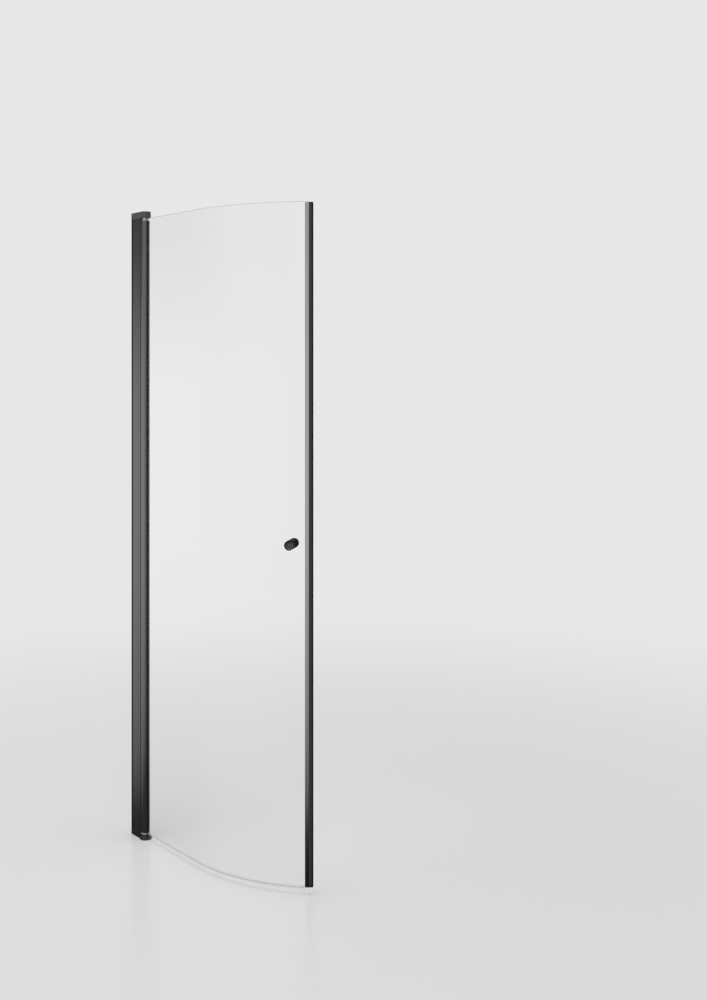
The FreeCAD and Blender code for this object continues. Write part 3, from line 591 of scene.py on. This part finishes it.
# Hinge bushes: pale grey acetal sleeves pressed into the tube, whose slotted collars close its ends.
# The upper collar fills the gap under the cap, and the lower one carries the door on the foot.
top_collar, top_collar_radius, foot_collar = 9.3, 11.8, 3.8
sleeve_long, sleeve_radius, bush_bore = 22, 6.05, 4.05
pale_acetal = lined_finish(
    "pale_acetal", (0.45, 0.45, 0.44), roughness=0.42, specular=0.45, line_scale=(200, 200, 200),
    line_depth=0.01, grain_scale=1800, grain_depth=0.01)
mesh = bmesh.new()
for end, collar, radius, way in (
        (tube_high, top_collar, top_collar_radius, 1), (tube_low, foot_collar, tube_radius, -1)):
    add_bar(mesh, end, end + way * collar, slotted_round(radius), circle(bush_bore))
    add_bar(mesh, end - way * sleeve_long, end, circle(sleeve_radius), circle(bush_bore))
hinge_bushes = finished(mesh, "hinge_bushes_dressed", "door", "bush_acetal", "hinge_bushes")
paint(hinge_bushes, pale_acetal)

# Hinge gasket: a black rubber U round the glass edge in the tube's groove.
# Its two soft beads stand just proud of the slot.
glass_half = 3
glass_start = 8.18
bead_front, bead_round, bead_edge, rubber_fit = 14.8, 0.7, 0.4, 0.02
black_rubber = lined_finish(
    "black_rubber", (0.016, 0.016, 0.016), roughness=0.62, specular=0.35, line_scale=(700, 700, 8),
    line_depth=0.03, grain_scale=1600, grain_depth=0.03)
gasket_outline = rounded([
    (hub_radius, -groove_half + rubber_fit, 0), (bead_front, -groove_half + rubber_fit, bead_edge),
    (bead_front, -glass_half - rubber_fit, bead_round), (glass_start, -glass_half - rubber_fit, 0),
    (glass_start, glass_half + rubber_fit, 0), (bead_front, glass_half + rubber_fit, bead_round),
    (bead_front, groove_half - rubber_fit, bead_edge), (hub_radius, groove_half - rubber_fit, 0)])
mesh = bmesh.new()
add_bar(mesh, tube_low, tube_high, gasket_outline)
hinge_gasket = finished(mesh, "hinge_gasket_dressed", "door", "gasket_rubber", "hinge_gasket")
paint(hinge_gasket, black_rubber)

# Glass: one 6 mm pane of clear toughened glass, flat beside the hinge and bent round to the free edge.
# Its edges are ground and arrissed, and it is drilled for the knob.
straight_run, bend_radius, glass_angle = 297, 530, 43.5
glass_low, glass_high, arris = 20, 1975.5, 0.7
bend_steps, least_broad = 72, 0.9
knob_angle, knob_height, knob_hole = 38.3, 997, 6


def on_glass(angle, across=0):
    """A point at a distance across the glass from its middle line, where the bend has turned by angle."""
    turn = math.radians(angle)
    reach = bend_radius - across
    return straight_run + reach * math.sin(turn), bend_radius - reach * math.cos(turn)


def stand_on_bend(angle, height):
    """Where a piece stands on the bent glass, its own X along the glass and its own Y into the shower."""
    x, y = on_glass(angle)
    return (Matrix.Translation((x * mm, y * mm, height * mm))
            @ Matrix.Rotation(math.radians(angle), 4, "Z"))


def add_run(mesh, section, start, angle):
    """Sweeps an (across, height) section along the glass, from start on the flat to an angle on the bend."""
    stations = [lambda across, x=x: (x, across) for x in (start, straight_run)]
    for step in range(1, bend_steps + 1):
        turn = angle * step / bend_steps
        stations.append(lambda across, turn=turn: on_glass(turn, across))
    rings = []
    for station in stations:
        rings.append([mesh.verts.new((*[v * mm for v in station(across)], z * mm)) for across, z in section])
    for near, far in zip(rings, rings[1:]):
        for i in range(len(near)):
            mesh.faces.new((near[i - 1], near[i], far[i], far[i - 1]))
    for ring in (rings[0], rings[-1]):
        close_end(mesh, ring)


def clear_finish(name, colour, roughness, index, haze_scale, haze, wave_depth):
    """Clear glass that lets the lamp's light through, with a faint haze and a slight waviness."""
    haze_start, haze_end = 0.45, 0.8
    wave_scale, wave_strength, light_share = 4, 0.3, 0.97
    material, parts, link = new_material(name)
    surface = parts.new("ShaderNodeBsdfPrincipled")
    surface.inputs["Base Color"].default_value = (*colour, 1)
    surface.inputs["Transmission Weight"].default_value = 1
    surface.inputs["IOR"].default_value = index
    place = parts.new("ShaderNodeTexCoord").outputs["Object"]
    film = noise(parts, link, place, haze_scale, detail=4)
    link(varied_number(parts, link, film, roughness, roughness + haze, haze_start, haze_end),
         surface.inputs["Roughness"])
    waves = noise(parts, link, place, wave_scale, detail=1)
    link(bumped(parts, link, waves, wave_depth, wave_strength), surface.inputs["Normal"])
    ray_kind = parts.new("ShaderNodeLightPath")
    passing = parts.new("ShaderNodeBsdfTransparent")
    passing.inputs["Color"].default_value = (light_share, light_share, light_share, 1)
    whole = mixed(
        parts, link, ray_kind.outputs["Is Shadow Ray"], surface.outputs["BSDF"], passing.outputs["BSDF"])
    link(whole, parts.new("ShaderNodeOutputMaterial").inputs["Surface"])
    return material


clear_glass = clear_finish(
    "clear_glass", (0.993, 0.997, 0.996), roughness=0.0, index=1.5,
    haze_scale=6, haze=0.015, wave_depth=0.02)
ground_edge = lined_finish(
    "ground_glass_edge", (0.50, 0.55, 0.54), roughness=0.22, specular=0.5, line_scale=(260, 260, 260),
    line_depth=0.01, grain_scale=2400, grain_depth=0.01)
pane_section = [
    (-glass_half + arris, glass_low), (glass_half - arris, glass_low), (glass_half, glass_low + arris),
    (glass_half, glass_high - arris), (glass_half - arris, glass_high), (-glass_half + arris, glass_high),
    (-glass_half, glass_high - arris), (-glass_half, glass_low + arris)]
turned_steps = 128


def add_turned(mesh, profile):
    """Adds a form turned about Z from (radius, height) points, closed at both ends."""
    for ring in add_skin(mesh, [(circle(radius, steps=turned_steps), z) for radius, z in profile]):
        close_end(mesh, ring)


def drilled(blank, drill):
    """Cuts one bmesh out of another, and returns what is left."""
    pieces = []
    for form in (blank, drill):
        bmesh.ops.recalc_face_normals(form, faces=form.faces)
        data = bpy.data.meshes.new("form")
        form.to_mesh(data)
        form.free()
        pieces.append(bpy.data.objects.new("form", data))
        scene.collection.objects.link(pieces[-1])
    cut = pieces[0].modifiers.new("cut", "BOOLEAN")
    cut.solver = "EXACT"
    cut.object = pieces[1]
    left = bmesh.new()
    left.from_object(pieces[0], bpy.context.evaluated_depsgraph_get())
    for piece in pieces:
        bpy.data.objects.remove(piece)
    return left


outward = stand_on_bend(knob_angle, knob_height) @ Matrix.Rotation(math.pi / 2, 4, "X")
blank = bmesh.new()
add_run(blank, pane_section, glass_start, glass_angle)
drill = bmesh.new()
drill_reach = 2 * glass_half
countersink = knob_hole + drill_reach - glass_half + arris
add_turned(drill, [(countersink, -drill_reach), (knob_hole, arris - glass_half),
                   (knob_hole, glass_half - arris), (countersink, drill_reach)])
bmesh.ops.transform(drill, matrix=outward, verts=drill.verts)
mesh = drilled(blank, drill)
mesh.normal_update()
for face in mesh.faces:
    middle = face.calc_center_median() / mm
    turn = math.atan2(max(middle.x - straight_run, 0), bend_radius - middle.y)
    across = Vector((-math.sin(turn), math.cos(turn), 0))
    face.material_index = 0 if abs(face.normal.dot(across)) > least_broad else 1
glass_panel = finished(mesh, "glass_panel_dressed", "door", "clear_glass", "glass_panel")
paint(glass_panel, clear_glass, ground_edge)

# Bottom seal: a clear soft PVC extrusion pushed on the lower edge of the glass.
# A thin fin reaches down almost to the floor, and a slanted lip on the inner side sheds the drips.
seal_start, seal_angle = 23.2, 42.473
seal_inner, seal_outer, seal_top = 3.1, 4.3, 28
seal_web_high, seal_web_low, seal_floor = 19.9, 17.3, 3
fin_half, lip_reach, lip_drop, lip_thick = 0.8, 5, 8, 1.2


def soft_clear_finish(name, colour, roughness, body):
    """A clear soft plastic, a little cloudy: body is how much of its own milky colour shows."""
    soft_index, cloud_scale, cloud_start, cloud_end = 1.4, 30, 0.3, 0.7
    body_spread, gloss_spread = 0.2, 0.1
    ripple_depth, ripple_strength = 0.05, 0.3
    material, parts, link = new_material(name)
    surface = parts.new("ShaderNodeBsdfPrincipled")
    surface.inputs["Base Color"].default_value = (*colour, 1)
    surface.inputs["IOR"].default_value = soft_index
    place = parts.new("ShaderNodeTexCoord").outputs["Object"]
    cloud = noise(parts, link, place, cloud_scale, detail=3)
    cloudy = eased(
        parts, link, cloud, cloud_start, cloud_end, body * (1 - body_spread), body * (1 + body_spread))
    link(cloudy, surface.inputs["Alpha"])
    duller = eased(parts, link, cloud, cloud_start, cloud_end, roughness, roughness + gloss_spread)
    link(duller, surface.inputs["Roughness"])
    link(bumped(parts, link, cloud, ripple_depth, ripple_strength), surface.inputs["Normal"])
    link(surface.outputs["BSDF"], parts.new("ShaderNodeOutputMaterial").inputs["Surface"])
    return material


clear_pvc = soft_clear_finish("clear_pvc", (0.84, 0.86, 0.86), roughness=0.2, body=0.06)
seal_section = rounded([
    (-seal_outer, seal_top, 0.5), (-seal_outer, seal_web_low, 0.8), (-fin_half, seal_web_low, 0.6),
    (-fin_half, seal_floor, 0.6), (fin_half, seal_floor, 0.6), (fin_half, seal_web_low, 0.6),
    (seal_outer, seal_web_low, 0.4), (seal_outer + lip_reach, seal_web_low - lip_drop, 0.3),
    (seal_outer + lip_reach, seal_web_low - lip_drop + lip_thick, 0.3), (seal_outer, seal_web_high, 0.6),
    (seal_outer, seal_top, 0.5), (seal_inner, seal_top, 0.3), (seal_inner, seal_web_high, 0.1),
    (-seal_inner, seal_web_high, 0.1), (-seal_inner, seal_top, 0.3)], steps=3)
mesh = bmesh.new()
add_run(mesh, seal_section, seal_start, seal_angle)
bottom_seal = finished(mesh, "bottom_seal_dressed", "door", "seal_pvc", "bottom_seal")
paint(bottom_seal, clear_pvc)

# Closing profile: a slim aluminium extrusion on the free edge of the glass, in a dark satin silver.
# A soft gasket holds it on the glass, and its front carries the rail of the magnet strip.
closing_bite, closing_front, closing_half = 8.5, 3, 6
closing_groove, closing_back = 4.4, 0.8
closing_round, closing_edge = 0.5, 0.3
closing_low, closing_high = 23, 1972.5
rail_half, rail_deep = 3.5, 1.2
at_free_edge = stand_on_bend(glass_angle, 0)
closing_metal = lined_finish(
    "closing_metal", (0.41, 0.41, 0.42), roughness=0.16, metallic=1, line_scale=(1400, 1400, 3),
    line_depth=0.01, grain_scale=2400, grain_depth=0.01)
closing_outline = rounded([
    (-closing_bite, -closing_half, closing_round), (closing_front, -closing_half, closing_edge),
    (closing_front, -rail_half, 0), (closing_front - rail_deep, -rail_half, 0),
    (closing_front - rail_deep, rail_half, 0), (closing_front, rail_half, 0),
    (closing_front, closing_half, closing_edge), (-closing_bite, closing_half, closing_round),
    (-closing_bite, closing_groove, closing_edge), (closing_back, closing_groove, 0),
    (closing_back, -closing_groove, 0), (-closing_bite, -closing_groove, closing_edge)])
mesh = bmesh.new()
add_bar(mesh, closing_low, closing_high, closing_outline)
closing_profile = finished(
    mesh, "closing_profile_dressed", "door", "closing_metal", "closing_profile", placement=at_free_edge)
paint(closing_profile, closing_metal)
paint(nodes["closing_gasket"], black_rubber)

# Magnet strip: a matte black PVC extrusion clipped to the closing profile, with a ferrite bar inside.
# Its bevelled nose and the two end pieces that plug its hollow carry a painted shade: a near-black PVC with
# almost no shine.
strip_low, strip_high, strip_front = 26, 1969.5, 14.3
nose_back, nose_half = 11.7, 4
strip_edge, bevel_round, nose_round = 0.2, 0.8, 0.6
hollow_back, hollow_front, hollow_half = 4.4, 12.9, 3
rail_gap = 0.1
matte_strip = lined_finish(
    "matte_strip", (0.043, 0.043, 0.044), roughness=0.5, specular=0.2, line_scale=(1100, 1100, 4),
    line_depth=0.02, grain_scale=2600, grain_depth=0.02)
strip_corners = [
    (closing_front, -closing_half, strip_edge), (nose_back, -closing_half, bevel_round),
    (strip_front, -nose_half, nose_round), (strip_front, nose_half, nose_round),
    (nose_back, closing_half, bevel_round), (closing_front, closing_half, strip_edge)]
rail_corners = [
    (closing_front, rail_half - rail_gap, 0),
    (closing_front - rail_deep + rail_gap, rail_half - rail_gap, 0),
    (closing_front - rail_deep + rail_gap, -rail_half + rail_gap, 0),
    (closing_front, -rail_half + rail_gap, 0)]
hollow = [(hollow_back, -hollow_half), (hollow_front, -hollow_half),
          (hollow_front, hollow_half), (hollow_back, hollow_half)]
# Painted shade: a near-black, almost shineless copy of the strip's black PVC.
black_pvc_painted_shade = lined_finish(
    "black_pvc_painted_shade", (0.003, 0.003, 0.003), roughness=0.7, specular=0.05, line_scale=(1100, 1100, 4),
    line_depth=0.02, grain_scale=2600, grain_depth=0.02)
mesh = bmesh.new()
add_bar(mesh, strip_low, strip_high, rounded(strip_corners + rail_corners), hollow)
# The nose faces take the painted-shade black.
for face in mesh.faces:
    behind = min(corner.co.x for corner in face.verts) < nose_back * mm
    face.material_index = 0 if behind else 1
magnet_strip = finished(
    mesh, "magnet_strip_dressed", "door", "strip_pvc", "magnet_strip", placement=at_free_edge)
paint(magnet_strip, matte_strip, black_pvc_painted_shade)
ferrite = lined_finish(
    "ferrite", (0.045, 0.038, 0.034), roughness=0.6, specular=0.3, line_scale=(500, 500, 20),
    line_depth=0.03, grain_scale=1500, grain_depth=0.04)
paint(nodes["magnet_core"], ferrite)
end_edge = 0.4
for end, low, high, way in (("top", strip_high, closing_high, 1), ("bottom", closing_low, strip_low, -1)):
    outer, inner = (high, low) if way > 0 else (low, high)
    smaller = []
    for x, y, rounding in strip_corners:
        smaller.append((min(x, strip_front - end_edge), y - math.copysign(end_edge, y), rounding))
    mesh = bmesh.new()
    for ring in add_skin(mesh, [
            (rounded(strip_corners), inner), (rounded(strip_corners), outer - way * end_edge),
            (rounded(smaller), outer)]):
        close_end(mesh, ring)
    end_piece = finished(
        mesh, f"closing_cap_{end}_dressed", "door", "strip_pvc", f"closing_cap_{end}",
        placement=at_free_edge)
    # The end pieces take the painted-shade black as well.
    paint(end_piece, black_pvc_painted_shade)

# Knob pair: two turned aluminium knobs on one stud, anodised black with a painted shade on their sides and
# rims, and a bright-cut ring in the dish.
# Rubber pads part them from the glass, a nylon sleeve lines the hole, a grub screw locks the inner one.
knob_radius, knob_front, knob_edge = 14, 32, 0.8
dish_radius, dish_deep = 12.9, 6.5
ring_outer, ring_inner, ring_rise = 10.9, 9, 1
centre_radius, centre_step = 6.8, 0.05
pad_outer, foot_edge = 4.8, 0.5
grub_radius, grub_place, grub_tip, grub_face = 2, 13.8, 3, 13.2


def turned_finish(name, colour, roughness, specular, groove_depth, metallic=0.0):
    """A lathe-turned finish: fine rings round the piece's own Z axis, on its side and on its face."""
    colour_spread, gloss_spread = 0.2, 0.07
    ring_scale = 3500
    material, parts, link = new_material(name)
    surface = parts.new("ShaderNodeBsdfPrincipled")
    surface.inputs["Specular IOR Level"].default_value = specular
    surface.inputs["Metallic"].default_value = metallic
    place = parts.new("ShaderNodeTexCoord")
    apart = parts.new("ShaderNodeSeparateXYZ")
    link(place.outputs["Object"], apart.inputs["Vector"])
    flat = parts.new("ShaderNodeCombineXYZ")
    link(apart.outputs["X"], flat.inputs["X"])
    link(apart.outputs["Y"], flat.inputs["Y"])
    radius = parts.new("ShaderNodeVectorMath")
    radius.operation = "LENGTH"
    link(flat.outputs["Vector"], radius.inputs[0])
    along = worked_out(parts, link, "ADD", radius.outputs["Value"], apart.outputs["Z"])
    rings = parts.new("ShaderNodeTexNoise")
    rings.noise_dimensions = "1D"
    rings.inputs["Scale"].default_value = ring_scale
    rings.inputs["Detail"].default_value = 2
    link(along, rings.inputs["W"])
    link(varied_colour(parts, link, rings.outputs["Fac"], colour, colour_spread),
         surface.inputs["Base Color"])
    duller = varied_number(
        parts, link, rings.outputs["Fac"], roughness - gloss_spread, roughness + gloss_spread)
    link(duller, surface.inputs["Roughness"])
    link(bumped(parts, link, rings.outputs["Fac"], groove_depth), surface.inputs["Normal"])
    link(surface.outputs["BSDF"], parts.new("ShaderNodeOutputMaterial").inputs["Surface"])
    return material


black_knob = turned_finish(
    "black_knob", (0.018, 0.018, 0.019), roughness=0.3, specular=0.9, groove_depth=0.012)
# Painted shade: a darker, almost shineless copy of the knob's black for its sides, rims and dish wall.
knob_black_painted_shade = turned_finish(
    "knob_black_painted_shade", (0.004, 0.004, 0.004), roughness=0.62, specular=0.06, groove_depth=0.02)
cut_ring = turned_finish(
    "cut_ring", (0.34, 0.34, 0.345), roughness=0.22, specular=0.5, groove_depth=0.01, metallic=1)
inward = stand_on_bend(knob_angle, knob_height) @ Matrix.Rotation(-math.pi / 2, 4, "X")
down_to_stud = (stand_on_bend(knob_angle, knob_height) @ Matrix.Translation((0, grub_place * mm, 0))
                @ Matrix.Rotation(math.pi, 4, "X"))
dish_floor = knob_front - dish_deep
knob_profile = [(knob_radius - foot_edge, pad_outer), (knob_radius, pad_outer + foot_edge)]
knob_profile += rounded_edge(knob_radius, knob_front, knob_edge)
knob_profile += [
    (dish_radius, knob_front), (ring_outer, dish_floor + ring_rise), (ring_inner, dish_floor),
    (centre_radius + centre_step, dish_floor), (centre_radius, dish_floor + centre_step)]
for name, placement in (("outer_knob", outward), ("inner_knob", inward)):
    mesh = bmesh.new()
    add_turned(mesh, knob_profile)
    if name == "inner_knob":
        drill = bmesh.new()
        add_turned(drill, [(grub_radius, grub_tip), (grub_radius, 2 * knob_radius)])
        bmesh.ops.transform(drill, matrix=placement.inverted() @ down_to_stud, verts=drill.verts)
        mesh = drilled(mesh, drill)
    for face in mesh.faces:
        middle = face.calc_center_median() / mm
        reach = math.hypot(middle.x, middle.y)
        # Faces outside the dish's middle and its ring take the painted-shade black.
        face.material_index = 1
        if dish_floor < middle.z < knob_front:
            if reach < centre_radius:
                face.material_index = 0
            elif ring_inner < reach < ring_outer:
                face.material_index = 2
    knob = finished(mesh, f"{name}_dressed", "door", "black_knob", name, placement=placement, sharp=20)
    paint(knob, black_knob, knob_black_painted_shade, cut_ring)
grub_fit, grub_edge, grub_socket = 0.05, 0.3, 0.75 * socket_half
mesh = bmesh.new()
socket = circle(grub_socket, steps=6)
grub_side = circle(grub_radius - grub_fit)
grub_end = circle(grub_radius - grub_fit - grub_edge)
tip, rim = add_skin(mesh, [
    (grub_end, grub_tip), (grub_side, grub_tip + grub_edge),
    (grub_side, grub_face - grub_edge), (grub_end, grub_face)])
base, mouth = add_skin(mesh, [(socket, grub_face - socket_deep), (socket, grub_face)])
close_end(mesh, tip)
close_end(mesh, base)
close_end(mesh, rim, mouth)
grub_screw = finished(
    mesh, "knob_grub_screw_dressed", "door", "screw_steel", "knob_grub_screw", placement=down_to_stud)
paint(grub_screw, black_steel)
white_nylon = lined_finish(
    "white_nylon", (0.74, 0.74, 0.71), roughness=0.45, line_scale=(300, 300, 300), line_depth=0.01,
    grain_scale=1800, grain_depth=0.01)
paint(nodes["knob_sleeve"], white_nylon)
paint(nodes["knob_stud"], zinc_steel)
paint(nodes["knob_washers"], black_rubber)
